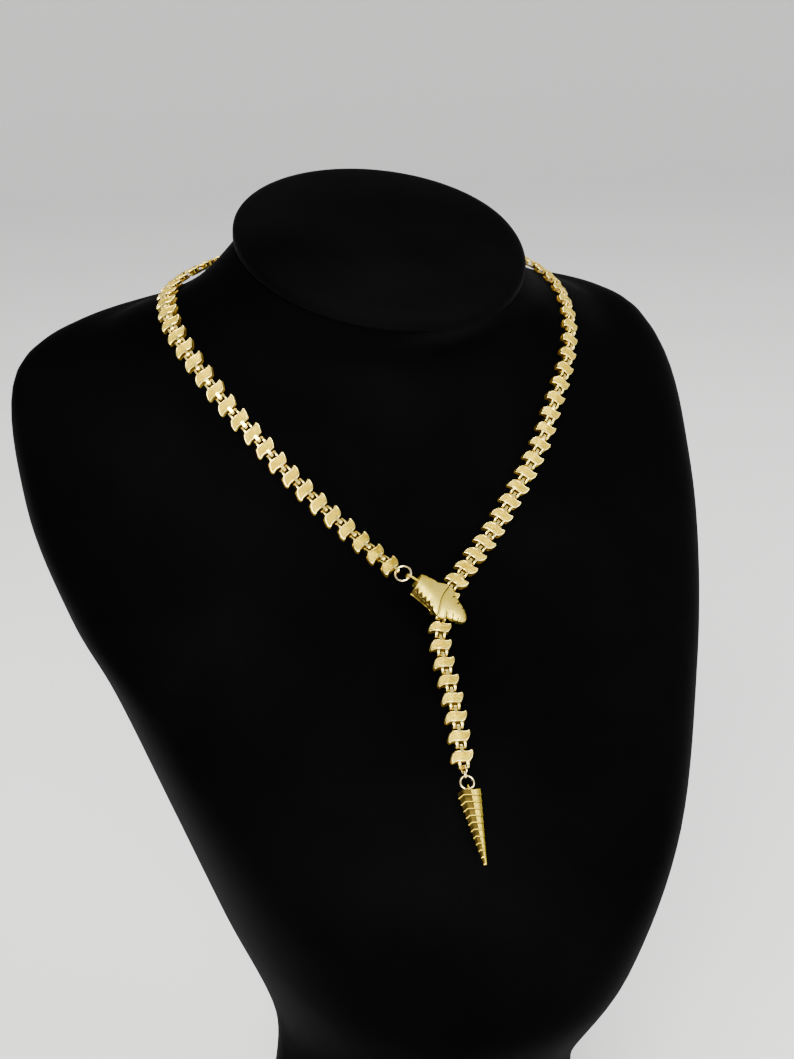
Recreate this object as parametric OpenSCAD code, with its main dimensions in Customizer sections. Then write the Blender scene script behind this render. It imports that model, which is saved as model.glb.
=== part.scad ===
/* [Spine links] */
// Distance from one link to the next in the neck loop
link_pitch = 5.45; // [5.4:0.01:5.5]
// Distance from one link to the next in the drop, which the tail pulls straight
drop_pitch = 5.6; // [5.5:0.01:5.6]
// Number of links in the loop
loop_links = 71; // [60:1:74]
// Number of links in the drop, with the two under the head
drop_links = 10; // [6:1:12]
// Thickness of a link from its front plate to its back plate
link_t = 2.2; // [2.1:0.1:2.4]
// Thickness of the stamped sheet
sheet = 0.42; // [0.35:0.01:0.45]
// Slope of each wing away from the centre ridge, in degrees
wing_slope = 11; // [0:1:12]
// Radius of the crossbar that the next link hangs on
bar_r = 0.3; // [0.25:0.01:0.32]

/* [Clasp] */
// Outer diameter of the clasp ring
clasp_ring_d = 5.1; // [4.8:0.1:5.6]
// Wire diameter of the clasp ring
clasp_wire = 0.6; // [0.5:0.01:0.7]
// Wall of the hollow snake head
head_wall = 0.5; // [0.4:0.05:0.8]
// Turn of the head from straight down toward the right shoulder, in degrees
head_turn = 52; // [40:1:65]
// How far the nose dips toward the chest, in degrees
head_dip = 13; // [8:1:18]
// How far the head leans over to its right side, in degrees
head_lean = 9; // [0:1:12]

/* [Tail] */
// Wire diameter of the oval link and the small ring
tail_wire = 0.45; // [0.4:0.01:0.5]
// Wire diameter of the jump ring above the tail
jump_wire = 0.5; // [0.4:0.01:0.6]
// Outer diameter of the jump ring above the tail
jump_d = 4.2; // [3.8:0.1:4.6]
// Number of scale rows on the tail
tail_rows = 11; // [8:1:14]

/* [Bust] */
// Number of flat strips round the bust
bust_sides = 64; // [32:4:72]
// Number of rings from one row of the bust table to the next
bust_rings = 3; // [2:1:4]
// Number of flat strips round the neck cap
cap_sides = 48; // [32:4:64]

/* [Hidden] */

// Columns of the bust table: height, half width, front, widest place, back, forward tilt and roundness
HEIGHT = 0;
HALF = 1;
FRONT = 2;
WIDE = 3;
BACK = 4;
TILT = 5;
ROUND = 6;
BUST = [
    [0, 50, -50, 19, 66, 0, 2.2],
    [14, 47, -48, 19, 64, 0, 2.2],
    [45, 45, -50, 19, 59, 0, 2.2],
    [85, 60, -79, 21, 61, 0, 2.2],
    [125, 74.5, -86.5, 21, 64, 0, 2.3],
    [162, 88, -65.5, 22, 68, 0, 2.4],
    [186, 98.5, -39.5, 26.5, 73, 0, 2.4],
    [217, 106, -17, 42, 81.5, 8.5, 2.4],
    [252, 104, -7, 53, 86.5, 25, 2.2],
    [262, 80.5, -3, 47, 76.5, 26, 2],
    [272, 56.5, -2, 35, 69, 21, 2],
    [286.5, 39.5, -18.5, 25.5, 64, 20.7, 2],
];

// The neck cap: a tilted oval slab like a row of the bust table, with rings of inset and height over its base
CAP = [286.9, 42.2, -21.5, 25.5, 67, 20.7, 2];
INSET = 0;
RISE = 1;
CAP_RINGS = [[1.2, 0], [0.2, 0.6], [0, 1.6], [0, 3.6], [0.9, 5], [2.4, 5.8], [5, 6.4], [14, 7.4], [27, 8.1]];

// Columns of the route: angle round the bust from its front, place in the bust table, extra lift off the bust
ANGLE = 0;
PLACE = 1;
LIFT = 2;
ROUTE = [
    [-6.5, 6.67, 3.3],
    [-9.5, 7.05, 1.4],
    [-14, 7.55, 0.2],
    [-21.5, 8.23, 0.05],
    [-36.5, 8.98, 0.1],
    [-61.5, 9.58, 0.15],
    [-93, 9.83, 0.55],
    [-130, 9.74, 0.85],
    [-180, 9.74, 0.8],
    [-230, 9.74, 0.7],
    [-271, 9.77, 0.35],
    [-300, 9.51, 0.1],
    [-324.5, 8.95, 0.05],
    [-339.5, 8.21, 0],
    [-348, 7.53, 0],
    [-354, 7.01, 0.2],
    [-359, 6.62, 0.7],
    [-363.5, 6.09, 0.5],
    [-365.5, 5.4, 0.2],
    [-368.5, 4.66, 0],
];
route_steps = 16;
// Gap between the velvet and what lies on it
lay_gap = 0.3;

// Places on the bust, with the columns of the route: where the ring meets the bail, the head's neck end,
// the string of rings above the tail, and the tail's tip
RING_TO = [-5.4, 6.58, 6];
HEAD_AT = [-5.6, 6.47, 4.8];
STRING_TO = [-7.8, 4.79, 2.2];
TAIL_TO = [-8.9, 4.34, 1.4];
// The way that the clasp ring's open side looks
RING_LOOK = [-0.1, -0.87, 0.5];

// A link in its own place: Y runs toward the clasp ring, Z off the bust, origin at the plate's centre
link_half = link_t / 2;
// Half height of the front plate at its centre
waist = 1.52;
bar_y = -3.15;
post_in = 0.85;
post_out = 1.4;
tab_half = 0.4;
// Free way of the crossbar inside the tab
tab_gap = 0.22;
tab_in = bar_y + drop_pitch + bar_r + tab_gap;
tab_out = tab_in + sheet;
// Cuts across the tab's two bends, outside and inside
tab_bend = 0.7;
tab_bend_in = 0.35;
// Right half of the front plate's outline; the left half is the same, turned half round
WING = [[0.6, 1.5], [1.5, 1.4], [2.3, 1.55], [2.85, 1.8], [3.15, 1.5], [3.2, 0.85], [2.95, -0.05],
        [2.45, -0.9], [1.7, -1.5], [0.6, -1.55]];
BACK_WING = [[1.5, 1.4], [2.85, 1.8], [3.2, 0.85], [2.45, -0.9], [1.7, -1.5]];
// Side of a post: along the link, then off the bust
POST = [[-1.5, -link_half], [-2.9, -link_half], [-3.5, -0.3], [-3.5, 0.3], [-2.9, link_half],
        [-1.5, link_half]];

// Columns of the head table: along, half width of the top's edge, height of that edge, height of the
// centre line, half width of the wall's rim, height of that rim, and how far the edge lies ahead of the
// centre line
ALONG = 0;
TOP_HALF = 1;
EDGE_H = 2;
CREST_H = 3;
RIM_HALF = 4;
RIM_H = 5;
SWEEP = 6;
HEAD = [
    [0.3, 2.65, 4.7, 5.3, 3.4, 1.9, 0],
    [1.6, 3.3, 4.5, 5.2, 3.6, 1.9, 0],
    [4.6, 4, 4.15, 4.8, 4.1, 1.9, 0.2],
    [5.1, 3.8, 4.1, 4.7, 4.2, 1.9, 0.3],
    [6.3, 4.75, 3.9, 4.5, 4.6, 1.9, 0.5],
    [7, 5.25, 3.75, 4.4, 5, 2, 0.7],
    [7.6, 5.65, 3.6, 4.3, 5.4, 2.3, 0.9],
    [8.1, 5.8, 3.4, 4.2, 5.6, 2.4, 1],
    [8.35, 5.7, 3.15, 3.85, 5.5, 2.3, 1.05],
    [8.9, 5.7, 3.2, 3.95, 5.5, 2.3, 1.1],
    [10.4, 5.4, 3.05, 3.8, 5.2, 2.1, 0.7],
    [12, 4.1, 2.75, 3.45, 3.9, 1.9, 0.4],
    [14.2, 3.25, 2.35, 3, 3.1, 1.4, 0.2],
    [15.8, 2.6, 2, 2.6, 2.5, 0.9, 0.1],
    [17, 1.8, 1.6, 2.1, 1.8, 0.4, 0],
    [17.7, 1, 1.3, 1.6, 1, 0.4, 0],
];
// Slits in from both edges of the snout: along, half width there, and length
SLITS = [[11.9, 4.3, 1.9], [13.9, 3.5, 1.8], [15.6, 2.8, 1.3]];
slit_w = 0.25;
slit_lean = 20;
// Notches in one edge of the crown: along, half width there
NOTCHES = [[0.9, 3], [2.5, 3.55], [4, 3.9], [5.5, 4.2], [6.9, 5.1]];
notch = 0.7;

// The bail's strap: width, thickness, half height, reach behind its root, and that root's place and roll
bail_w = 0.55;
bail_t = 0.35;
bail_half = 1.3;
bail_reach = 3.6;
BAIL_AT = [0.75, 2.3, 1.3];
bail_roll = 20;
// The small plate that hangs from the crown and holds the bail: its first corner, and its size
BAIL_PLATE = [[0.3, 1.75, -0.6], [0.45, 1, 5.1]];

// The tongue inside the head: along, and half width there
TONGUE = [[0.6, 1.5], [4.8, 2.2], [7, 3], [9, 3.2], [11, 2.6]];
tongue_h = 1.7;
tongue_t = 0.35;

// Rows of the tail's eight-sided section, for half widths of one: across, and off the chest
TAIL_SECTION = [[0, 0.62], [-0.62, 0.3], [-1, -0.05], [-0.7, -0.5], [0, -0.6], [0.7, -0.5], [1, -0.05],
                [0.62, 0.3]];
tail_l = 19.9;
tail_half = 3.4;
tip_half = 0.4;
// A scale row of the tail narrows to this share at its top, and its points reach up by this much
row_waist = 0.94;
row_peak = 0.25;
row_share = 0.96;
// The last crossbar's distance to the middle of each ring below it, and to the tail's top
link_at = 0.45;
connector_at = 1.9;
ring_at = 4.1;
tail_at = 6.45;
// Outer sizes of the oval link, the small ring and the tail's own bail
oval_w = 2.1;
oval_l = 2.7;
connector_d = 2.35;
tail_bail_d = 2.6;

gold = "goldenrod";
velvet = "black";

function unit(v) = v / norm(v);
function keep_sign(v, power) = sign(v) * pow(abs(v), power);
function row_of(table, k) = table[max(0, min(len(table) - 1, k))];
function spline(a, b, c, d, f) =
    (2 * b + (c - a) * f + (2 * a - 5 * b + 4 * c - d) * f * f + (3 * b - a - 3 * c + d) * f * f * f) / 2;
function between(table, place) =
    let(k = max(0, min(len(table) - 2, floor(place))))
    spline(row_of(table, k - 1), row_of(table, k), row_of(table, k + 1), row_of(table, k + 2), place - k);

// A point of a section at an angle from its front, drawn in by an inset
function on_section(s, angle, inset = 0) =
    let(side = keep_sign(sin(angle), 2 / s[ROUND]),
        ahead = keep_sign(cos(angle), 2 / s[ROUND]),
        reach = (ahead > 0 ? s[WIDE] - s[FRONT] : s[BACK] - s[WIDE]) - inset,
        y = s[WIDE] - reach * ahead)
    [(s[HALF] - inset) * side, y, s[HEIGHT] + tan(s[TILT]) * (y - s[WIDE])];
function bust_point(angle, place) = on_section(between(BUST, place), angle);
function bust_normal(angle, place) =
    unit(cross(bust_point(angle + 1, place) - bust_point(angle - 1, place),
               bust_point(angle, place + 0.02) - bust_point(angle, place - 0.02)));
function off_bust(at, base = 0) =
    bust_point(at[ANGLE], at[PLACE]) + (base + at[LIFT]) * bust_normal(at[ANGLE], at[PLACE]);

// The chain's track as points and normals, then hinges at an equal stride along it
TRACK = [for (u = [0 : 1 / route_steps : len(ROUTE) - 1])
    let(at = between(ROUTE, u)) [off_bust(at, link_half + lay_gap), bust_normal(at[ANGLE], at[PLACE])]];
function next_index(p, i, stride) = norm(TRACK[i][0] - p) >= stride ? i : next_index(p, i + 1, stride);
function along_track(p, i, stride) =
    let(a = TRACK[i - 1][0], d = TRACK[i][0] - a, w = a - p,
        f = (-(w * d) + sqrt((w * d) * (w * d) - (d * d) * (w * w - stride * stride))) / (d * d))
    [a + f * d, unit(TRACK[i - 1][1] * (1 - f) + TRACK[i][1] * f), i];
function hinges(h, left, stride) =
    left == 0 ? [h] :
    concat([h], hinges(along_track(h[0], next_index(h[0], h[2], stride), stride), left - 1, stride));
LOOP = hinges([TRACK[0][0], TRACK[0][1], 1], loop_links, link_pitch);
DROP = hinges(LOOP[loop_links], drop_links, drop_pitch);

// Places children at a point, with Y along one direction and Z as near as it can be to another
module put(at, along, off) {
    z = unit(off - (off * along) * along);
    x = cross(along, z);
    multmatrix([[x[0], along[0], z[0], at[0]], [x[1], along[1], z[1], at[1]], [x[2], along[2], z[2], at[2]]])
        children();
}

module chain(line, count) {
    for (k = [0 : count - 1]) {
        along = unit(line[k][0] - line[k + 1][0]);
        put(line[k + 1][0] - bar_y * along, along, line[k][1] + line[k + 1][1]) link();
    }
}

module link() {
    color(gold) {
        // the roofed front plate
        for (side = [0, 180]) rotate([0, 0, side]) translate([0, 0, link_half]) rotate([0, wing_slope, 0])
            translate([0, 0, -sheet]) linear_extrude(sheet)
                polygon(concat([[0, waist]], WING, [[0, -waist]]));
        // the flat back plate
        translate([0, 0, -link_half]) linear_extrude(sheet)
            polygon(concat(BACK_WING, [for (p = BACK_WING) -p]));
        // the two posts and the crossbar between them
        for (side = [post_in, -post_out]) translate([side, 0, 0]) rotate([90, 0, 90])
            linear_extrude(post_out - post_in) polygon(POST);
        translate([-post_in - 0.1, bar_y, 0]) rotate([0, 90, 0])
            cylinder(r = bar_r, h = 2 * post_in + 0.2, $fn = 24);
        // the folded tab that goes round the next crossbar
        translate([-tab_half, 0, 0]) rotate([90, 0, 90]) linear_extrude(2 * tab_half) difference() {
            polygon(strap(1, link_half, tab_out, tab_bend));
            polygon(strap(0.9, link_half - sheet, tab_in, tab_bend_in));
        }
    }
}

// Side of a flat strap's loop: from its open end out to its far end, with its corners cut
function strap(from, half, to, bend) = let(d = sign(to - from) * bend)
    [[from, -half], [from, half], [to - d, half], [to, half - bend], [to, bend - half], [to - d, -half]];

module ring(d, wire) {
    rotate_extrude($fn = 48) translate([(d - wire) / 2, 0]) circle(d = wire, $fn = 16);
}

module oval(w, l, wire) {
    straight = l - w;
    for (side = [0, 180]) rotate([0, 0, side]) {
        translate([0, straight / 2, 0]) rotate_extrude(angle = 180, $fn = 48)
            translate([(w - wire) / 2, 0]) circle(d = wire, $fn = 16);
        translate([(w - wire) / 2, straight / 2, 0]) rotate([90, 0, 0])
            cylinder(d = wire, h = straight, $fn = 16);
    }
}

// Ends of a skin: one flat face, or a strip from the outer line to the inner one for a hollow section
function end_faces(n, hollow) = !hollow ? [[for (j = [0 : n - 1]) j]] :
    [for (j = [0 : n / 2 - 2]) each [[j, j + 1, n - 2 - j], [j, n - 2 - j, n - 1 - j]]];
// Closes rings of equally many points, each turning left as seen from the last, into a solid with flat ends
module skin(rings, hollow = false) {
    n = len(rings[0]);
    last = len(rings) - 1;
    polyhedron(
        points = [for (r = rings) for (p = r) p],
        faces = concat(
            end_faces(n, hollow),
            [for (i = [0 : last - 1]) for (j = [0 : n - 1])
                [i * n + j, (i + 1) * n + (j + 1) % n, i * n + (j + 1) % n]],
            [for (i = [0 : last - 1]) for (j = [0 : n - 1])
                [i * n + j, (i + 1) * n + j, (i + 1) * n + (j + 1) % n]],
            [for (f = end_faces(n, hollow)) [for (j = [len(f) - 1 : -1 : 0]) last * n + f[j]]]));
}

module neck_bust() {
    color(velvet) skin([for (k = [0 : bust_rings * (len(BUST) - 1)])
        [for (j = [0 : bust_sides - 1]) bust_point(j * 360 / bust_sides, k / bust_rings)]]);
}

module neck_cap() {
    lean = [0, -sin(CAP[TILT]), cos(CAP[TILT])];
    color(velvet) skin([for (r = CAP_RINGS)
        [for (j = [0 : cap_sides - 1]) on_section(CAP, j * 360 / cap_sides, r[INSET]) + r[RISE] * lean]]);
}

module neck_chain() {
    chain(LOOP, loop_links);
}

module drop_chain() {
    chain(DROP, drop_links);
}

module clasp_ring() {
    start = LOOP[0][0];
    along = unit(start - off_bust(RING_TO));
    color(gold) put(start - along * (clasp_ring_d - clasp_wire) / 2, along, RING_LOOK)
        ring(clasp_ring_d, clasp_wire);
}

// The head's own place: X toward the nose, Z off the chest
module in_head() {
    n = bust_normal(HEAD_AT[ANGLE], HEAD_AT[PLACE]);
    side = unit(cross([0, 0, 1], n));
    put(off_bust(HEAD_AT), cross(n, side), n) rotate([0, 0, head_turn - 90]) rotate([-head_lean, head_dip, 0])
        children();
}

// Half of a head section's outer line from the rim to the centre, on the side given by its sign
function head_line(s, side, wall) = [
    [s[ALONG] + s[SWEEP], side * (s[RIM_HALF] - wall), s[RIM_H]],
    [s[ALONG] + s[SWEEP], side * (s[TOP_HALF] - wall), s[EDGE_H] - wall],
    [s[ALONG] + s[SWEEP] / 3, side * (s[TOP_HALF] - wall) / 2, (s[EDGE_H] + 3 * s[CREST_H]) / 4 - wall],
    [s[ALONG], 0, s[CREST_H] - wall],
];
function turned(line) = [for (k = [len(line) - 1 : -1 : 0]) line[k]];
function head_ring(s) = concat(
    head_line(s, 1, 0), turned([for (k = [0 : 2]) head_line(s, -1, 0)[k]]),
    head_line(s, -1, head_wall), turned([for (k = [0 : 2]) head_line(s, 1, head_wall)[k]]));

module snake_head() {
    color(gold) in_head() {
        difference() {
            skin([for (s = HEAD) head_ring(s)], hollow = true);
            for (side = [0, 1]) mirror([0, side, 0]) for (g = SLITS)
                translate([g[0], g[1] + 0.2, 0]) rotate([0, 0, -slit_lean])
                    translate([-slit_w / 2, -g[2] - 0.2, 1]) cube([slit_w, g[2] + 1, 3]);
            mirror([0, 1, 0]) for (g = NOTCHES)
                translate([g[0], g[1] + 0.25, 3.6]) rotate([0, 0, -60]) cylinder(r = notch, h = 2, $fn = 3);
        }
        // the bail goes round the clasp ring, and its plate closes it
        translate(BAIL_AT) rotate([bail_roll, 0, 0]) bail();
        translate(BAIL_PLATE[0]) cube(BAIL_PLATE[1]);
    }
}

module bail() {
    rotate([90, 0, 0]) translate([0, 0, -bail_w / 2]) linear_extrude(bail_w) difference() {
        polygon(strap(0, bail_half, -bail_reach, 0.6));
        polygon(strap(0.1, bail_half - bail_t, bail_t - bail_reach, 0.35));
    }
}

module clasp_tongue() {
    color(gold) in_head() translate([0, 0, tongue_h]) linear_extrude(tongue_t)
        polygon(concat(TONGUE, turned([for (p = TONGUE) [p[0], -p[1]]])));
}

// The string of rings from the last crossbar toward the tail: Y toward the clasp
string_from = DROP[drop_links][0];
string_along = unit(string_from - off_bust(STRING_TO));
string_off = bust_normal(STRING_TO[ANGLE], STRING_TO[PLACE]);
module on_string(down) {
    color(gold) put(string_from - down * string_along, string_along, string_off) children();
}

module tail_link() {
    on_string(link_at) rotate([0, -55, 0]) oval(oval_w, oval_l, tail_wire);
}

module tail_connector() {
    on_string(connector_at) rotate([0, 67, 0]) ring(connector_d, tail_wire);
}

module tail_ring() {
    on_string(ring_at) ring(jump_d, jump_wire);
}

// One ring of the tail's section; the upper edges beside its ridge reach up by a peak
function tail_row(half, y, peak) = [for (p = TAIL_SECTION)
    [half * p[0], y + (p[1] > 0 && p[0] != 0 ? peak : 0), half * p[1]]];
function tail_width(k) = tail_half + (tip_half - tail_half) * k / tail_rows;

module snake_tail() {
    top = string_from - tail_at * string_along;
    along = unit(top - off_bust(TAIL_TO));
    pitch = tail_l / tail_rows;
    color(gold) put(top, along, string_off) {
        skin(concat([for (k = [0 : tail_rows - 1]) each [
            tail_row(tail_width(k) * row_waist, -k * pitch, k > 0 ? row_peak : 0),
            tail_row(tail_width(k + 0.9), -(k + row_share) * pitch, row_peak)]]));
        translate([0, 0.35, 0]) rotate([0, 75, 0]) ring(tail_bail_d, jump_wire);
    }
}

neck_bust();
neck_cap();
neck_chain();
drop_chain();
clasp_ring();
snake_head();
clasp_tongue();
tail_link();
tail_connector();
tail_ring();
snake_tail();
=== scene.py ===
"""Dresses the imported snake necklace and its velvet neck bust, seen as in the photograph."""
import math

import bpy
import numpy as np
from mathutils import Matrix, Vector


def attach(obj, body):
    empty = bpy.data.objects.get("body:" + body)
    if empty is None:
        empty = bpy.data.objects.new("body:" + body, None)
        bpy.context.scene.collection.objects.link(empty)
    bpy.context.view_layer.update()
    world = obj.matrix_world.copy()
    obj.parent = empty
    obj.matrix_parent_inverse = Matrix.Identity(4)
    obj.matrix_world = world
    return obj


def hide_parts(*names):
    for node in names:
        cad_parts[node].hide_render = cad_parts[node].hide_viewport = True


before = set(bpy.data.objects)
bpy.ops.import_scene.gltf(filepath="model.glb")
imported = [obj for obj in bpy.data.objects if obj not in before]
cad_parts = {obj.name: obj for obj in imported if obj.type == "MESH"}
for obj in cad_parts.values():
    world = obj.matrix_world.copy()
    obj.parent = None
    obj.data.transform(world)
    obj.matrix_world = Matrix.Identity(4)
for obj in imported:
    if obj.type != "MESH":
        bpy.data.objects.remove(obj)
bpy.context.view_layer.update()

MM = 0.001

# Sizes in millimetres and angles in degrees, the same as in part.scad
LINK_PITCH, DROP_PITCH, LOOP_LINKS, DROP_LINKS = 5.45, 5.6, 71, 10
LINK_HALF, SHEET, WING_SLOPE, BAR_R, BAR_Y, WAIST = 1.1, 0.42, 11, 0.3, -3.15, 1.52
POST_IN, POST_OUT, TAB_HALF, TAB_GAP = 0.85, 1.4, 0.4, 0.22
TAB_IN = BAR_Y + DROP_PITCH + BAR_R + TAB_GAP
CLASP_D, CLASP_WIRE = 5.1, 0.6
HEAD_WALL, HEAD_TURN, HEAD_DIP, HEAD_LEAN = 0.5, 52, 13, 9
TAIL_WIRE, JUMP_WIRE, JUMP_D, TAIL_ROWS = 0.45, 0.5, 4.2, 11
TAIL_L, TAIL_HALF, TIP_HALF = 19.9, 3.4, 0.4
LINK_AT, CONNECTOR_AT, RING_AT, TAIL_AT = 0.45, 1.9, 4.1, 6.45
OVAL_W, OVAL_L, CONNECTOR_D, TAIL_BAIL_D = 2.1, 2.7, 2.35, 2.6
OVAL_TURN, CONNECTOR_TURN, TAIL_BAIL_TURN, TAIL_BAIL_UP = -55, 67, 75, 0.35

# Bust rows: height, half width, front, widest place, back, forward tilt, roundness
BUST = np.array([
    [0, 50, -50, 19, 66, 0, 2.2],
    [14, 47, -48, 19, 64, 0, 2.2],
    [45, 45, -50, 19, 59, 0, 2.2],
    [85, 60, -79, 21, 61, 0, 2.2],
    [125, 74.5, -86.5, 21, 64, 0, 2.3],
    [162, 88, -65.5, 22, 68, 0, 2.4],
    [186, 98.5, -39.5, 26.5, 73, 0, 2.4],
    [217, 106, -17, 42, 81.5, 8.5, 2.4],
    [252, 104, -7, 53, 86.5, 25, 2.2],
    [262, 80.5, -3, 47, 76.5, 26, 2],
    [272, 56.5, -2, 35, 69, 21, 2],
    [286.5, 39.5, -18.5, 25.5, 64, 20.7, 2],
], float)
CAP = np.array([286.9, 42.2, -21.5, 25.5, 67, 20.7, 2])
CAP_TILT = CAP[5]
# Cap rings: inset, height above its base
CAP_RINGS = np.array([
    [1.2, 0], [0.2, 0.6], [0, 1.6], [0, 3.6], [0.9, 5], [2.4, 5.8], [5, 6.4], [14, 7.4], [27, 8.1]])
# Steps round the bust and the cap, and from one of their rows to the next
ROUND_STEPS, BUST_ROW_STEPS, CAP_ROW_STEPS = 160, 8, 4

# Route rows: angle round the bust, place in the bust table, extra lift
ROUTE = np.array([
    [-6.5, 6.67, 3.3], [-9.5, 7.05, 1.4], [-14, 7.55, 0.2], [-21.5, 8.23, 0.05], [-36.5, 8.98, 0.1],
    [-61.5, 9.58, 0.15], [-93, 9.83, 0.55], [-130, 9.74, 0.85], [-180, 9.74, 0.8], [-230, 9.74, 0.7],
    [-271, 9.77, 0.35], [-300, 9.51, 0.1], [-324.5, 8.95, 0.05], [-339.5, 8.21, 0], [-348, 7.53, 0],
    [-354, 7.01, 0.2], [-359, 6.62, 0.7], [-363.5, 6.09, 0.5], [-365.5, 5.4, 0.2], [-368.5, 4.66, 0]])
ROUTE_STEPS, LAY_GAP = 16, 0.3
# Places on the bust, with the columns of the route
RING_TO = (-5.4, 6.58, 6)
HEAD_AT = (-5.6, 6.47, 4.8)
STRING_TO = (-7.8, 4.79, 2.2)
TAIL_TO = (-8.9, 4.34, 1.4)
RING_LOOK = (-0.1, -0.87, 0.5)

# Right half of a link's front and back plates; the left half is the same turned half round
WING = [[0.6, 1.5], [1.5, 1.4], [2.3, 1.55], [2.85, 1.8], [3.15, 1.5], [3.2, 0.85], [2.95, -0.05],
        [2.45, -0.9], [1.7, -1.5], [0.6, -1.55]]
BACK_WING = [[1.5, 1.4], [2.85, 1.8], [3.2, 0.85], [2.45, -0.9], [1.7, -1.5]]
# Side of a post: along the link, off the bust
POST = [(-1.5, LINK_HALF), (-2.9, LINK_HALF), (-3.5, 0.3), (-3.5, -0.3), (-2.9, -LINK_HALF),
        (-1.5, -LINK_HALF)]
# Materials of a link; the side one is a darker gold, painted shade on the plates' sides, the field's sunk
# edge, the back plate and the crossbar
FACE, RIM, SIDE_SHADE = 0, 1, 2
# A front plate's edge: inset from the outline, depth under the roof, and the material of the next strip
EDGE_STEPS = ((0, SHEET, SIDE_SHADE), (0, 0.26, RIM), (0.06, 0.12, RIM), (0.16, 0.03, RIM), (0.26, 0, RIM),
              (0.36, 0.02, RIM), (0.42, 0.07, SIDE_SHADE))
# Its sunk field: the inset of its outline, then shares of that outline with their depths
FIELD_INSET = 0.46
FIELD_STEPS = ((1, 0.13), (0.66, 0.07), (0.3, 0.05))
# The roof's ridge is rounded: an added square, and the drop that it brings
RIDGE_SOFT, RIDGE_DROP = 0.006, 0.077
# The back plate's and the posts' edge rounding, and how far the crossbar goes into each post
PLATE_ROUND, POST_ROUND, BAR_SIDES, BAR_OVER = 0.06, 0.05, 12, 0.1
# Outer and inner line of the tab: where they start, and the radius of their corners
TAB_FROM, TAB_BEND = (1, 0.9), (0.8, 0.4)

# Head rows: along, half width, edge height, crest height, rim half width, rim height, sweep
HEAD = np.array([
    [0.3, 2.65, 4.7, 5.3, 3.4, 1.9, 0],
    [1.6, 3.3, 4.5, 5.2, 3.6, 1.9, 0],
    [4.6, 4, 4.15, 4.8, 4.1, 1.9, 0.2],
    [5.1, 3.8, 4.1, 4.7, 4.2, 1.9, 0.3],
    [6.3, 4.75, 3.9, 4.5, 4.6, 1.9, 0.5],
    [7, 5.25, 3.75, 4.4, 5, 2, 0.7],
    [7.6, 5.65, 3.6, 4.3, 5.4, 2.3, 0.9],
    [8.1, 5.8, 3.4, 4.2, 5.6, 2.4, 1],
    [8.35, 5.7, 3.15, 3.85, 5.5, 2.3, 1.05],
    [8.9, 5.7, 3.2, 3.95, 5.5, 2.3, 1.1],
    [10.4, 5.4, 3.05, 3.8, 5.2, 2.1, 0.7],
    [12, 4.1, 2.75, 3.45, 3.9, 1.9, 0.4],
    [14.2, 3.25, 2.35, 3, 3.1, 1.4, 0.2],
    [15.8, 2.6, 2, 2.6, 2.5, 0.9, 0.1],
    [17, 1.8, 1.6, 2.1, 1.8, 0.4, 0],
    [17.7, 1, 1.3, 1.6, 1, 0.4, 0],
])
# Which columns after the first a wall's thickness is taken from
WALL_COLUMNS = np.array([1, 1, 1, 1, 0, 0])
HEAD_STATIONS, WALL_STEPS, TOP_STEPS, INNER_STRIDE = 130, 8, 63, 6
# The crown's edge is rounded from this share of its half width on, down by this much
ROUND_FROM, ROUND_DOWN, EDGE_SHARES = 0.93, 0.25, np.array([1.0, 0.985, 0.96])
SWEEP_POWER = 1.585
# The step behind the jaw, and its depth
CREASE, CREASE_DEEP = (8.1, 8.16, 8.35, 8.42), 0.12
# Slits on both sides: along, across, length
SLITS = [(11.9, 4.3, 1.9), (13.9, 3.5, 1.8), (15.6, 2.8, 1.3)]
SLIT_HALF, SLIT_LEAN, SLIT_OVER, SLIT_DEEP = 0.16, 20, 1.2, 0.42
# Notches in one edge of the crown: along, across
NOTCHES = [(0.9, 3), (2.5, 3.55), (4, 3.9), (5.5, 4.2), (6.9, 5.1)]
NOTCH, NOTCH_OUT, NOTCH_SLOPE, NOTCH_LENGTH, NOTCH_SOFT = 0.7, 0.1, 1.5, 1.2, 0.35
# A notch's depth, how far it is pressed in, how far it reaches down the wall, and where it fades out there
NOTCH_DEEP, NOTCH_IN, NOTCH_DOWN, NOTCH_FADE = 0.34, 0.25, 1.1, 0.4
# Materials of the head: cast gold, the recess gold as painted shade in its marks and inside, and the side
# walls' painted shade
CAST, HOLLOW_SHADE, WALL_SHADE = 0, 1, 2
BAIL_AT, BAIL_ROLL, BAIL_HALF, BAIL_REACH = (0.75, 2.3, 1.3), 20, 1.3, 3.6
BAIL_WIDE, BAIL_THICK, BAIL_FROM, BAIL_BEND = 0.55, 0.35, (0, 0.1), (0.7, 0.4)
BAIL_PLATE = ((0.3, 1.75, -0.6), (0.75, 2.75, 4.5))

TAIL_SECTION = np.array([
    [0, 0.62], [-0.62, 0.3], [-1, -0.05], [-0.7, -0.5], [0, -0.6], [0.7, -0.5], [1, -0.05], [0.62, 0.3]])
# How far each point of the section reaches up in a scale row, for half widths of one
TAIL_LIFT = (0.1, 0.24, 0, 0, 0, 0, 0, 0)
TAIL_SIDE_STEPS, ROW_TAPER = 4, 0.9
# Materials of the tail: cast gold, the grooves' painted shade, and the scoops' painted shade on one side
LIP, GROOVE_SHADE, SCOOP_SHADE = 0, 1, 2
# A scale row from its top down: share of the row, swell, and the material of the next strip
TAIL_STEPS = ((0, 0.94, SCOOP_SHADE), (0.08, 0.93, SCOOP_SHADE), (0.76, 0.96, LIP), (0.81, 1.02, LIP), (0.89, 1, GROOVE_SHADE),
              (0.95, 0.94, GROOVE_SHADE))
# Scoops get the painted shade only off the chest from here
SCOOP_OFF = -0.2


# The bust's surface and the chain's route, worked out as in the source

def unit(v):
    v = np.asarray(v, float)
    return v / np.linalg.norm(v)


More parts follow.
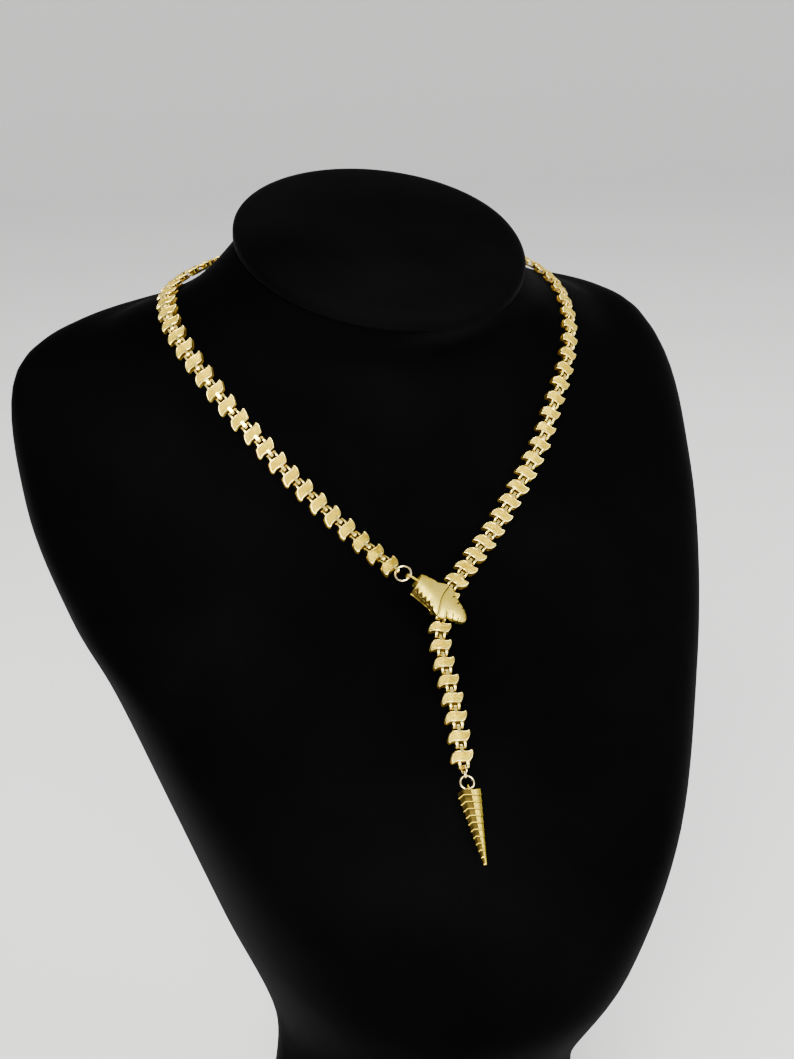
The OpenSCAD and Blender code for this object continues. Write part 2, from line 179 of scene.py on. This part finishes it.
def spline(a, b, c, d, f):
    return (2 * b + (c - a) * f + (2 * a - 5 * b + 4 * c - d) * f * f + (3 * b - a - 3 * c + d) * f ** 3) / 2


def between(table, place):
    last = len(table) - 1
    k = int(max(0, min(last - 1, math.floor(place))))
    rows = [table[max(0, min(last, k + j))] for j in (-1, 0, 1, 2)]
    return spline(*rows, place - k)


def keep_sign(v, power):
    return np.sign(v) * abs(v) ** power


def on_section(s, angle, inset=0.0):
    height, half, front, wide, back, tilt, rounding = s
    a = math.radians(angle)
    side, ahead = keep_sign(math.sin(a), 2 / rounding), keep_sign(math.cos(a), 2 / rounding)
    reach = (wide - front if ahead > 0 else back - wide) - inset
    y = wide - reach * ahead
    return np.array([(half - inset) * side, y, height + math.tan(math.radians(tilt)) * (y - wide)])


def bust_point(angle, place):
    return on_section(between(BUST, place), angle)


def bust_normal(angle, place):
    return unit(np.cross(bust_point(angle + 1, place) - bust_point(angle - 1, place),
                         bust_point(angle, place + 0.02) - bust_point(angle, place - 0.02)))


def off_bust(at, base=0.0):
    return bust_point(at[0], at[1]) + (base + at[2]) * bust_normal(at[0], at[1])


def chain_track():
    rows = [between(ROUTE, k / ROUTE_STEPS) for k in range(ROUTE_STEPS * (len(ROUTE) - 1) + 1)]
    return [(off_bust(r, LINK_HALF + LAY_GAP), bust_normal(r[0], r[1])) for r in rows]


def hinges(track, start, count, stride):
    """Points at an equal straight stride along the track, each with the bust's normal there."""
    found = [start]
    for _ in range(count):
        p, _, i = found[-1]
        while np.linalg.norm(track[i][0] - p) < stride:
            i += 1
        a, d = track[i - 1][0], track[i][0] - track[i - 1][0]
        w = a - p
        f = (-(w @ d) + math.sqrt((w @ d) ** 2 - (d @ d) * (w @ w - stride * stride))) / (d @ d)
        found.append((a + f * d, unit(track[i - 1][1] * (1 - f) + track[i][1] * f), i))
    return found


def place(at, along, off):
    """The matrix that puts Y along one direction and Z as near as it can be to another."""
    along, off = unit(along), np.asarray(off, float)
    z = unit(off - (off @ along) * along)
    m = np.eye(4)
    m[:3, 0], m[:3, 1], m[:3, 2], m[:3, 3] = np.cross(along, z), along, z, at
    return m


def turn(axis, degrees):
    return np.array(Matrix.Rotation(math.radians(degrees), 4, axis))


def shift(x, y, z):
    return np.array(Matrix.Translation((x, y, z)))


TRACK = chain_track()
LOOP = hinges(TRACK, (TRACK[0][0], TRACK[0][1], 1), LOOP_LINKS, LINK_PITCH)
DROP = hinges(TRACK, LOOP[-1], DROP_LINKS, DROP_PITCH)


# Meshes are gathered in millimetres and written in metres

class Shape:
    """Points, faces, a material number for each face and a flat coordinate for each point."""
    FLAT_SCALE = 0.1

    def __init__(self):
        self.points, self.faces, self.kinds, self.flat, self.count = [], [], [], [], 0

    def add(self, points, faces, kinds, flat=None):
        points = np.asarray(points, float)
        self.points.append(points)
        self.flat.append(points[:, :2] if flat is None else flat)
        self.faces += [tuple(i + self.count for i in f) for f in faces]
        self.kinds += list(kinds) if hasattr(kinds, "__len__") else [kinds] * len(faces)
        self.count += len(points)

    def add_rings(self, rings, kinds, start=None, end=None):
        """Joins closed rings of equally many points; start and end are fans to a middle point."""
        rings = [np.asarray(r, float) for r in rings]
        n = len(rings[0])
        faces, made = [], []
        for k in range(len(rings) - 1):
            for j in range(n):
                a, b = k * n + j, k * n + (j + 1) % n
                faces.append((a, b, b + n, a + n))
                made.append(kinds[k] if hasattr(kinds, "__len__") else kinds)
        points = list(np.concatenate(rings))
        last = n * (len(rings) - 1)
        for ring, base, kind, flip in ((rings[0], 0, start, True), (rings[-1], last, end, False)):
            if kind is None:
                continue
            points.append(ring.mean(0))
            mid = len(points) - 1
            for j in range(n):
                a, b = base + j, base + (j + 1) % n
                faces.append((b, a, mid) if flip else (a, b, mid))
                made.append(kind)
        self.add(points, faces, made)

    def add_moved(self, other, m, flat_shift=(0, 0)):
        """Adds a copy of another shape, moved by a matrix, with its own spot in the flat coordinates."""
        points, flat = np.concatenate(other.points), np.concatenate(other.flat)
        self.add(points @ m[:3, :3].T + m[:3, 3], other.faces, other.kinds, flat + flat_shift)

    def build(self, name, materials, matrix=None, sharp=40):
        pts = np.concatenate(self.points)
        if matrix is not None:
            pts = pts @ matrix[:3, :3].T + matrix[:3, 3]
        mesh = bpy.data.meshes.new(name)
        mesh.from_pydata((pts * MM).tolist(), [], self.faces)
        mesh.update()
        for m in materials:
            mesh.materials.append(m)
        mesh.polygons.foreach_set("material_index", self.kinds)
        mesh.polygons.foreach_set("use_smooth", [True] * len(mesh.polygons))
        flat = np.concatenate(self.flat)
        loops = np.empty(len(mesh.loops), int)
        mesh.loops.foreach_get("vertex_index", loops)
        mesh.uv_layers.new(name="Flat").data.foreach_set("uv", (flat[loops] * self.FLAT_SCALE).ravel())
        mesh.set_sharp_from_angle(angle=math.radians(sharp))
        o = bpy.data.objects.new(name, mesh)
        bpy.context.scene.collection.objects.link(o)
        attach(o, "root")
        return o


def closed_curve(points, per):
    """A smooth closed line through points, with the same number of steps to each."""
    n = len(points)
    p = np.asarray(points, float)
    return np.array([spline(p[k - 1], p[k], p[(k + 1) % n], p[(k + 2) % n], j / per)
                     for k in range(n) for j in range(per)])


def inset(line, distance):
    """A closed line that turns left, moved inward by a distance."""
    ahead = np.roll(line, -1, 0) - np.roll(line, 1, 0)
    normal = np.stack([-ahead[:, 1], ahead[:, 0]], 1) / np.linalg.norm(ahead, axis=1)[:, None]
    return line + distance * normal


# Materials

class Paint:
    def __init__(self, name, **inputs):
        self.material = bpy.data.materials.new(name)
        self.material.use_nodes = True
        self.tree = self.material.node_tree
        self.shader = self.tree.nodes["Principled BSDF"]
        for k, v in inputs.items():
            self.put(self.shader.inputs[k.replace("_", " ")], v)

    def put(self, socket, value):
        if isinstance(value, bpy.types.NodeSocket):
            self.tree.links.new(value, socket)
        else:
            socket.default_value = value

    def add(self, kind, settings=None, **inputs):
        node = self.tree.nodes.new("ShaderNode" + kind)
        for k, v in (settings or {}).items():
            setattr(node, k, v)
        for k, v in inputs.items():
            self.put(node.inputs[k.replace("_", " ")], v)
        return node

    def noise(self, vector, scale, detail):
        return self.add("TexNoise", Vector=vector, Scale=scale, Detail=detail, Roughness=0.5).outputs["Fac"]

    def ramp(self, fac, *stops):
        node = self.add("ValToRGB", Fac=fac)
        for e, (at, c) in zip(node.color_ramp.elements, stops):
            e.position = at
            e.color = (*c, 1) if hasattr(c, "__len__") else (c, c, c, 1)
        return node.outputs["Color"]

    def bump(self, height, strength, distance, normal=None):
        node = self.add("Bump", Height=height, Strength=strength, Distance=distance)
        if normal is not None:
            self.put(node.inputs["Normal"], normal)
        return node.outputs["Normal"]


# Scales of the noises: patches and fibres of the velvet, patches and grain of the metal
VELVET_PATCH, VELVET_FIBRE, METAL_PATCH, METAL_GRAIN = 14, 2600, 320, 3800
# The crossed hatch of the link faces: its two directions, its lines' scale and its depth
HATCH_TURNS, HATCH_SCALE, HATCH_DEEP = (20, 75), 8.0, 0.0001


def velvet(name, dark, pale):
    p = Paint(name, Roughness=1.0, Sheen_Weight=0.04, Sheen_Roughness=0.25, Sheen_Tint=(0.5, 0.5, 0.54, 1),
              Specular_IOR_Level=0.0)
    at = p.add("TexCoord").outputs["Object"]
    broad = p.noise(at, VELVET_PATCH, 4)
    fine = p.noise(at, VELVET_FIBRE, 2)
    p.put(p.shader.inputs["Base Color"], p.ramp(broad, (0.3, dark), (0.75, pale)))
    nap = p.bump(broad, 0.12, 0.004)
    p.put(p.shader.inputs["Normal"], p.bump(fine, 0.35, 0.0003, nap))
    return p.material


def gold(name, colour, shade, rough, hatch=0.0, wear=0.25):
    """Plated metal: a colour, its duller shade in patches, and a fine hatch over the flat coordinate."""
    p = Paint(name, Metallic=1.0)
    coord = p.add("TexCoord")
    at = coord.outputs["Object"]
    tone = p.noise(at, METAL_PATCH, 3)
    fine = p.noise(at, METAL_GRAIN, 3)
    p.put(p.shader.inputs["Base Color"], p.ramp(tone, (0.3, shade), (0.62, colour)))
    p.put(p.shader.inputs["Roughness"], p.ramp(fine, (0.3, rough), (0.8, min(1, rough + wear))))
    normal = p.bump(fine, 0.12, 0.00006)
    if hatch:
        for degrees in HATCH_TURNS:
            flat = p.add("Mapping", Vector=coord.outputs["UV"], Rotation=(0, 0, math.radians(degrees)))
            lines = p.add("TexWave", {"wave_type": "BANDS", "bands_direction": "X", "wave_profile": "SIN"},
                          Vector=flat.outputs["Vector"], Scale=HATCH_SCALE, Distortion=0.4, Detail=1.0)
            normal = p.bump(lines.outputs["Fac"], hatch, HATCH_DEEP, normal)
    p.put(p.shader.inputs["Normal"], normal)
    return p.material


BUST_VELVET = velvet("bust_velvet", (0.0006, 0.0006, 0.0007), (0.0016, 0.0016, 0.0018))
CAP_VELVET = velvet("cap_velvet", (0.0009, 0.0009, 0.001), (0.0022, 0.0022, 0.0025))
LINK_FACE = gold("link_face_hatched", (0.93, 0.68, 0.03), (0.66, 0.45, 0.012), 0.27, hatch=0.9)
LINK_RIM = gold("link_rim_polished", (1.0, 0.84, 0.24), (1.0, 0.76, 0.15), 0.14, wear=0.15)
# Painted shade: the darker gold of the link sides, back plate and crossbar stands in for the shade between
# the plates
LINK_SIDE_SHADE = gold("link_sides_painted_shade", (0.6, 0.4, 0.04), (0.28, 0.17, 0.02), 0.26)
RING_GOLD = gold("ring_polished", (1.0, 0.86, 0.48), (0.98, 0.78, 0.34), 0.12, wear=0.12)
HEAD_GOLD = gold("head_cast", (1.0, 0.8, 0.12), (0.96, 0.71, 0.07), 0.23)
# Painted shade: the head's side walls are made dark gold where shade falls under the crown
HEAD_SHADE = gold("head_wall_painted_shade", (0.16, 0.11, 0.02), (0.03, 0.02, 0.005), 0.3)
# Painted shade: a near-black gold for the head's slits, notches, crease and inside and the tail's grooves,
# where shade falls
RECESS = gold("recess_painted_shade", (0.07, 0.045, 0.012), (0.03, 0.02, 0.006), 0.5)
TONGUE_GOLD = gold("tongue_satin", (0.8, 0.58, 0.2), (0.5, 0.34, 0.1), 0.3)
TAIL_GOLD = gold("tail_cast", (1.0, 0.76, 0.07), (0.88, 0.62, 0.035), 0.2)
# Painted shade: the tail's left scoops are made near black, a dark reflection painted on one side
TAIL_SHADE = gold("tail_scoops_painted_shade", (0.05, 0.034, 0.006), (0.012, 0.008, 0.002), 0.3)


# Bust and cap

def bust_piece():
    s = Shape()
    s.add_rings([[bust_point(j * 360 / ROUND_STEPS, k / BUST_ROW_STEPS) for j in range(ROUND_STEPS)]
                 for k in range(BUST_ROW_STEPS * (len(BUST) - 1) + 1)], 0, start=0, end=0)
    o = s.build("neck_bust_velvet", [BUST_VELVET], sharp=60)
    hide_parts("neck_bust")


def cap_piece():
    s = Shape()
    lean = np.array([0, -math.sin(math.radians(CAP_TILT)), math.cos(math.radians(CAP_TILT))])
    rows = [between(CAP_RINGS, k / CAP_ROW_STEPS) for k in range(CAP_ROW_STEPS * (len(CAP_RINGS) - 1) + 1)]
    s.add_rings([[on_section(CAP, j * 360 / ROUND_STEPS, r[0]) + r[1] * lean for j in range(ROUND_STEPS)]
                 for r in rows], 0, start=0, end=0)
    o = s.build("neck_cap_velvet", [CAP_VELVET], sharp=60)
    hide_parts("neck_cap")


# Links

def roof(xy, down):
    slope = math.tan(math.radians(WING_SLOPE))
    fall = np.sqrt(xy[:, 0] ** 2 + RIDGE_SOFT) - RIDGE_DROP
    return np.column_stack([xy, LINK_HALF - slope * fall - down])


def outline_of(half):
    """A plate's whole outline from its right half, turned to run left."""
    return np.array(half + [[-x, -y] for x, y in half])[::-1]


def rounded_box(s, profile, low, high, kind):
    """A flat outline of (y, z) points carried along x, with its edges a little rounded."""
    rings = []
    line = np.asarray(profile, float)
    for x, d in ((low, POST_ROUND), (low + POST_ROUND, 0), (high - POST_ROUND, 0), (high, POST_ROUND)):
        yz = inset(line, d)
        rings.append(np.column_stack([np.full(len(yz), x), yz]))
    s.add_rings(rings, kind, start=kind, end=kind)


def strap(start, half, end, bend, steps=4):
    """Side of a strap's loop as (y, z) points, from its open end round its rounded far corners."""
    d = math.copysign(bend, end - start)
    line = [(start, -half), (start, half)]
    for corner, turn_from in ((1, 90), (-1, 0)):
        for k in range(steps + 1):
            a = math.radians(turn_from - 90 * k / steps)
            line.append((end - d + d * math.cos(a), corner * (half - bend) + bend * math.sin(a)))
    return line


def loop_band(s, outer, inner, half, kind):
    """A band between two open lines of equally many points, as wide as two halves along x."""
    n = len(outer)
    pts = [(x, y, z) for x in (-half, half) for line in (outer, inner) for y, z in line]
    faces = []
    for a in range(n - 1):
        b = a + 1
        faces += [(a, b, b + n, a + n), (a + 2 * n, a + 3 * n, b + 3 * n, b + 2 * n),
                  (a, a + 2 * n, b + 2 * n, b), (a + n, b + n, b + 3 * n, a + 3 * n)]
    for a in (0, n - 1):
        faces.append((a, a + n, a + 3 * n, a + 2 * n) if a == 0 else (a, a + 2 * n, a + 3 * n, a + n))
    s.add(pts, faces, kind)


def link_shape():
    s = Shape()
    # the roofed front plate with its rim and its sunk field
    edge = closed_curve(outline_of([[0, WAIST]] + WING), 3)
    field = inset(edge, FIELD_INSET)
    rings = [roof(inset(edge, d), down) for d, down, _ in EDGE_STEPS]
    rings += [roof(field * share, down) for share, down in FIELD_STEPS]
    s.add_rings(rings, [kind for _, _, kind in EDGE_STEPS] + [FACE] * (len(FIELD_STEPS) - 1), end=FACE)
    s.add_rings([roof(edge * 0.5, SHEET), roof(edge, SHEET)], SIDE_SHADE, start=SIDE_SHADE)
    # the flat back plate
    back = closed_curve(outline_of(BACK_WING), 2)
    rows = ((PLATE_ROUND, 0), (0, PLATE_ROUND), (0, SHEET))
    s.add_rings([np.column_stack([inset(back, d), np.full(len(back), up - LINK_HALF)]) for d, up in rows],
                SIDE_SHADE, start=SIDE_SHADE, end=SIDE_SHADE)
    # posts, crossbar and tab
    for low in (POST_IN, -POST_OUT):
        rounded_box(s, POST, low, low + POST_OUT - POST_IN, RIM)
    angles = [2 * math.pi * k / BAR_SIDES for k in range(BAR_SIDES)]
    s.add_rings([[(x, BAR_Y + BAR_R * math.cos(a), BAR_R * math.sin(a)) for a in angles]
                 for x in (-POST_IN - BAR_OVER, POST_IN + BAR_OVER)], SIDE_SHADE)
    loop_band(s, strap(TAB_FROM[0], LINK_HALF, TAB_IN + SHEET, TAB_BEND[0]),
              strap(TAB_FROM[1], LINK_HALF - SHEET, TAB_IN, TAB_BEND[1]), TAB_HALF, RIM)
    return s


def chain_piece(name, node, line):
    link, s = link_shape(), Shape()
    for k, (a, b) in enumerate(zip(line[:-1], line[1:])):
        along = unit(a[0] - b[0])
        # each link's hatch starts somewhere else
        s.add_moved(link, place(b[0] - BAR_Y * along, along, a[1] + b[1]), (17.0 * k, 9.0 * (k % 5)))
    o = s.build(name, [LINK_FACE, LINK_RIM, LINK_SIDE_SHADE], sharp=50)
    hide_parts(node)


# Rings

def loop_of_wire(s, centre_line, wire, kind=0, sides=12):
    """Round wire along a closed flat line of (x, y) points that turns left."""
    line = np.asarray(centre_line, float)
    ahead = np.roll(line, -1, 0) - np.roll(line, 1, 0)
    out = np.stack([ahead[:, 1], -ahead[:, 0]], 1) / np.linalg.norm(ahead, axis=1)[:, None]
    r = wire / 2
    angles = [2 * math.pi * k / sides for k in range(sides)]
    rings = [[(*(p + o * r * math.cos(a)), r * math.sin(a)) for a in angles] for p, o in zip(line, out)]
    s.add_rings(rings + [rings[0]], kind)


def circle(radius, steps=56):
    return [(radius * math.cos(2 * math.pi * k / steps), radius * math.sin(2 * math.pi * k / steps))
            for k in range(steps)]


def oval(width, length, steps=20):
    half = (length - width) / 2
    r = width / 2
    angles = [math.pi * k / steps for k in range(steps + 1)]
    top = [(r * math.cos(a), half + r * math.sin(a)) for a in angles]
    return top + [(-x, -y) for x, y in top]


def ring_piece(name, node, line, wire, matrix):
    s = Shape()
    loop_of_wire(s, line, wire)
    o = s.build(name, [RING_GOLD], matrix, sharp=70)
    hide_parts(node)


def on_string(down):
    start = DROP[-1][0]
    along = unit(start - off_bust(STRING_TO))
    return place(start - down * along, along, bust_normal(STRING_TO[0], STRING_TO[1]))


def rings():
    start = LOOP[0][0]
    along = unit(start - off_bust(RING_TO))
    r = (CLASP_D - CLASP_WIRE) / 2
    ring_piece("clasp_ring_wire", "clasp_ring", circle(r), CLASP_WIRE,
               place(start - along * r, along, RING_LOOK))
    ring_piece("tail_link_wire", "tail_link", oval(OVAL_W - TAIL_WIRE, OVAL_L - TAIL_WIRE), TAIL_WIRE,
               on_string(LINK_AT) @ turn("Y", OVAL_TURN))
    ring_piece("tail_connector_wire", "tail_connector", circle((CONNECTOR_D - TAIL_WIRE) / 2, 36), TAIL_WIRE,
               on_string(CONNECTOR_AT) @ turn("Y", CONNECTOR_TURN))
    ring_piece("tail_ring_wire", "tail_ring", circle((JUMP_D - JUMP_WIRE) / 2), JUMP_WIRE, on_string(RING_AT))


# Head

def head_matrix():
    n = bust_normal(HEAD_AT[0], HEAD_AT[1])
    side = unit(np.cross((0, 0, 1), n))
    return (place(off_bust(HEAD_AT), unit(np.cross(n, side)), n) @ turn("Z", HEAD_TURN - 90)
            @ turn("Y", HEAD_DIP) @ turn("X", -HEAD_LEAN))


def head_row(along):
    return np.array([np.interp(along, HEAD[:, 0], HEAD[:, c]) for c in range(1, 7)])


def slit_depth(u, v):
    """How far a point on the snout lies inside a slit, from 0 to 1."""
    best = 0.0
    lean = math.radians(SLIT_LEAN)
    for along, across, length in SLITS:
        du, dv = u - along, abs(v) - across
        along_slit = -dv * math.cos(lean) - du * math.sin(lean)
        off = abs(du * math.cos(lean) - dv * math.sin(lean))
        if -SLIT_OVER < along_slit < length and off < SLIT_HALF:
            best = max(best, 1 - (off / SLIT_HALF) ** 4)
    return best


def notch_depth(u, v, under_edge):
    """How far a point lies inside a notch, from 0 to 1; a notch ends a little way down the wall."""
    best = 0.0
    for along, across in NOTCHES:
        du, dv = u - along, -v - across - NOTCH_OUT
        reach = NOTCH_SLOPE * (NOTCH - abs(du)) + dv
        if abs(du) < NOTCH and reach > 0 and dv > -NOTCH * NOTCH_LENGTH:
            best = max(best, min(1, reach / NOTCH_SOFT))
    return best * min(1, max(0, (NOTCH_DOWN - under_edge) / NOTCH_FADE))


def head_section(along, wall_in=0.0):
    """The outer line of the shell, or its inner one for a wall's thickness."""
    half, edge_h, crest_h, rim_half, rim_h, sweep = head_row(along) - wall_in * WALL_COLUMNS

    def wall(side):
        return [(along + sweep, side * (rim_half + (half - rim_half) * f),
                 rim_h + (edge_h - ROUND_DOWN - rim_h) * f) for f in np.arange(WALL_STEPS) / WALL_STEPS]

    top, middle = [], np.linspace(ROUND_FROM, -ROUND_FROM, TOP_STEPS)
    for v in np.concatenate([EDGE_SHARES, middle, -EDGE_SHARES[::-1]]):
        soft = ROUND_DOWN * max(0.0, (abs(v) - ROUND_FROM) / (1 - ROUND_FROM)) ** 2
        top.append((along + sweep * abs(v) ** SWEEP_POWER, half * v,
                    crest_h - (crest_h - edge_h) * v * v - soft))
    return np.array(wall(1) + top + wall(-1)[::-1])


def marked_section(along):
    """An outer line with its slits, notches and crease pressed in, and which points they mark."""
    line, marks = head_section(along), []
    edge_h = head_row(along)[1]
    for k, (u, v, h) in enumerate(line):
        slit, notch = slit_depth(u, v), notch_depth(u, v, edge_h - h)
        deep = max(SLIT_DEEP * slit, NOTCH_DEEP * notch)
        if CREASE[0] < along < CREASE[-1]:
            deep = max(deep, CREASE_DEEP)
        line[k, 2] -= deep
        line[k, 1] -= math.copysign(NOTCH_IN * notch, v)
        marks.append(slit > 0.3 or notch > 0.5 or CREASE[0] <= along <= CREASE[2])
    return line, marks


def head_shell(s):
    stations = np.unique(np.concatenate([np.linspace(HEAD[0, 0], HEAD[-1, 0], HEAD_STATIONS), CREASE]))
    outer, marks = zip(*[marked_section(a) for a in stations])
    n = len(outer[0])
    faces, kinds = [], []
    for i in range(len(outer) - 1):
        for j in range(n - 1):
            a = i * n + j
            faces.append((a, a + n, a + n + 1, a + 1))
            # the side walls get a painted shade, a dark gold, with bright edges along the rim and the crown
            on_wall = 1 <= min(j, n - 2 - j) < WALL_STEPS - 1
            kinds.append(HOLLOW_SHADE if marks[i][j] and marks[i][j + 1] else WALL_SHADE if on_wall else CAST)
    s.add(np.concatenate(outer), faces, kinds)
    # the inside of the shell, in coarser steps and in painted shade, and the rim between the two
    step = list(range(0, len(stations), INNER_STRIDE)) + [len(stations) - 1]
    inner = [head_section(stations[i], HEAD_WALL) for i in step]
    s.add(np.concatenate(inner), [(i * n + j, i * n + j + 1, (i + 1) * n + j + 1, (i + 1) * n + j)
                                  for i in range(len(inner) - 1) for j in range(n - 1)], HOLLOW_SHADE)
    q = len(step)
    for side in (0, -1):
        edges = [outer[i][side] for i in step] + [p[side] for p in inner]
        s.add(edges, [(k, k + 1, q + k + 1, q + k) if side else (k, q + k, q + k + 1, k + 1)
                      for k in range(q - 1)], CAST)
    # the sheet's edge at the open neck, and the nose
    s.add(np.concatenate([outer[0], inner[0]]), [(j, j + 1, n + j + 1, n + j) for j in range(n - 1)], CAST)
    nose = outer[-1]
    mid = [(nose[:, 0].mean(), 0, (nose[0, 2] + nose[:, 2].max()) / 2)]
    s.add(np.concatenate([nose, mid]), [(j + 1, j, n) for j in range(n - 1)] + [(0, n - 1, n)], CAST)


def head_bail(s):
    """The bail goes round the clasp ring, and its plate closes it."""
    bail = Shape()
    loop_band(bail, strap(BAIL_FROM[0], BAIL_HALF, -BAIL_REACH, BAIL_BEND[0]),
              strap(BAIL_FROM[1], BAIL_HALF - BAIL_THICK, BAIL_THICK - BAIL_REACH, BAIL_BEND[1]),
              BAIL_WIDE / 2, CAST)
    s.add_moved(bail, shift(*BAIL_AT) @ turn("X", BAIL_ROLL) @ turn("Z", -90))
    corners = [(x, y, z) for x, _, _ in BAIL_PLATE for _, y, _ in BAIL_PLATE for _, _, z in BAIL_PLATE]
    box = [(0, 1, 3, 2), (4, 6, 7, 5), (0, 4, 5, 1), (2, 3, 7, 6), (0, 2, 6, 4), (1, 5, 7, 3)]
    s.add(corners, box, CAST)


def head_piece():
    s = Shape()
    head_shell(s)
    head_bail(s)
    o = s.build("snake_head_cast", [HEAD_GOLD, RECESS, HEAD_SHADE], head_matrix(), sharp=38)
    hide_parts("snake_head")


# Tail

def tail_line(half, y, lifted):
    """A ring of the tail's section for a half width; lifted is 1 where its points reach up, or 0."""
    pts = []
    n = len(TAIL_SECTION)
    for k in range(n):
        a, b = TAIL_SECTION[k], TAIL_SECTION[(k + 1) % n]
        low, high = TAIL_LIFT[k], TAIL_LIFT[(k + 1) % n]
        for f in np.arange(TAIL_SIDE_STEPS) / TAIL_SIDE_STEPS:
            p = a + (b - a) * f
            pts.append((half * p[0], y + lifted * half * (low + (high - low) * f), half * p[1]))
    return pts


def tail_width(k):
    return TAIL_HALF + (TIP_HALF - TAIL_HALF) * k / TAIL_ROWS


def tail_piece():
    s = Shape()
    pitch = TAIL_L / TAIL_ROWS
    lines, kinds = [], []
    for k in range(TAIL_ROWS):
        top, low = tail_width(k), tail_width(k + ROW_TAPER)
        for f, swell, kind in TAIL_STEPS:
            lines.append(tail_line((top + (low - top) * f) * swell, -(k + f) * pitch, 1 if k or f else 0))
            kinds.append(kind)
    s.add_rings(lines[::-1], kinds[:-1][::-1], start=LIP, end=LIP)
    # only the scoops in the front faces left of the ridge get the painted shade, a dark reflection painted on
    # one side
    pts = np.concatenate(s.points)
    for i, f in enumerate(s.faces):
        x, _, z = pts[list(f)].mean(0)
        if s.kinds[i] == SCOOP_SHADE and not (x < 0 and z > SCOOP_OFF):
            s.kinds[i] = LIP
    wire = Shape()
    loop_of_wire(wire, circle((TAIL_BAIL_D - JUMP_WIRE) / 2, 40), JUMP_WIRE, LIP)
    s.add_moved(wire, shift(0, TAIL_BAIL_UP, 0) @ turn("Y", TAIL_BAIL_TURN))
    top = on_string(TAIL_AT)
    at = top[:3, 3]
    o = s.build("snake_tail_cast", [TAIL_GOLD, RECESS, TAIL_SHADE],
                place(at, at - off_bust(TAIL_TO), top[:3, 2]), sharp=25)
    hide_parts("snake_tail")


bust_piece()
cap_piece()
chain_piece("neck_chain_links", "neck_chain", LOOP)
chain_piece("drop_chain_links", "drop_chain", DROP)
rings()
head_piece()
tail_piece()
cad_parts["clasp_tongue"].data.materials[0] = TONGUE_GOLD


# Camera, floor and lights

# The photograph's height in pixels, the camera's focal length in those pixels, and the sensor in millimetres
PHOTO_HIGH, FOCAL, SENSOR = 1059, 1900.0, 36
AZIMUTH, ELEVATION, ROLL, DISTANCE = -20.6, 16.0, -2.2, 583.8
# The point that it looks at: across the picture, then depth and height
LOOK_ACROSS, LOOK_DEPTH, LOOK_HEIGHT = 3.3, 27, 200.3


def camera():
    a, e, r = math.radians(AZIMUTH), math.radians(ELEVATION), math.radians(ROLL)
    back = np.array([math.sin(a) * math.cos(e), -math.cos(a) * math.cos(e), math.sin(e)])
    right = np.array([math.cos(a), math.sin(a), 0])
    up = np.cross(back, right)
    target = LOOK_ACROSS * right + np.array([0, LOOK_DEPTH, LOOK_HEIGHT])
    right, up = math.cos(r) * right + math.sin(r) * up, math.cos(r) * up - math.sin(r) * right
    cam = bpy.data.objects.new("camera", bpy.data.cameras.new("camera"))
    m = np.eye(4)
    m[:3, 0], m[:3, 1], m[:3, 2], m[:3, 3] = right, up, back, (target + back * DISTANCE) * MM
    cam.matrix_world = Matrix(m.tolist())
    cam.data.sensor_width = SENSOR
    cam.data.lens = SENSOR * FOCAL / PHOTO_HIGH
    cam.data.clip_start, cam.data.clip_end = 0.01, 50
    bpy.context.scene.collection.objects.link(cam)
    bpy.context.scene.camera = cam


# The floor is flat, and turns up far out so that no edge shows behind the bust: radius, height
FLOOR_ROWS = ((3000, 0), (3500, 60), (4000, 260), (4400, 620), (4700, 1150), (4900, 1900), (5000, 3200))
FLOOR_SIDES = 96


def floor():
    s = Shape()
    angles = [2 * math.pi * k / FLOOR_SIDES for k in range(FLOOR_SIDES)]
    s.add_rings([[(r * math.cos(a), r * math.sin(a), z) for a in angles] for r, z in FLOOR_ROWS], 0, start=0)
    mesh = bpy.data.meshes.new("floor")
    mesh.from_pydata((np.concatenate(s.points) * MM).tolist(), [], [f[::-1] for f in s.faces])
    p = Paint("floor_pale", Base_Color=(0.85, 0.85, 0.84, 1), Roughness=0.75)
    mesh.materials.append(p.material)
    mesh.polygons.foreach_set("use_smooth", [True] * len(mesh.polygons))
    o = bpy.data.objects.new("floor", mesh)
    bpy.context.scene.collection.objects.link(o)


# Where the lamps point, in metres
LAMP_TARGET = Vector((0, 0, 0.2))


def area(name, at, size, power, colour=(1, 1, 1)):
    data = bpy.data.lights.new(name, "AREA")
    data.size, data.energy, data.color = size, power, colour
    o = bpy.data.objects.new(name, data)
    o.location = at
    o.rotation_mode = "QUATERNION"
    o.rotation_quaternion = (LAMP_TARGET - Vector(at)).to_track_quat("-Z", "Y")
    bpy.context.scene.collection.objects.link(o)


def lights():
    world = bpy.data.worlds.new("studio")
    world.use_nodes = True
    back = world.node_tree.nodes["Background"]
    back.inputs["Color"].default_value = (0.8, 0.81, 0.82, 1)
    back.inputs["Strength"].default_value = 1.0
    bpy.context.scene.world = world
    area("key", (-0.8, -1.35, 1.0), 1.0, 85, (1, 0.98, 0.94))
    area("fill", (1.2, -1.2, 0.8), 0.9, 26)
    area("top", (0.2, 0.5, 1.7), 0.8, 18)


camera()
floor()
lights()
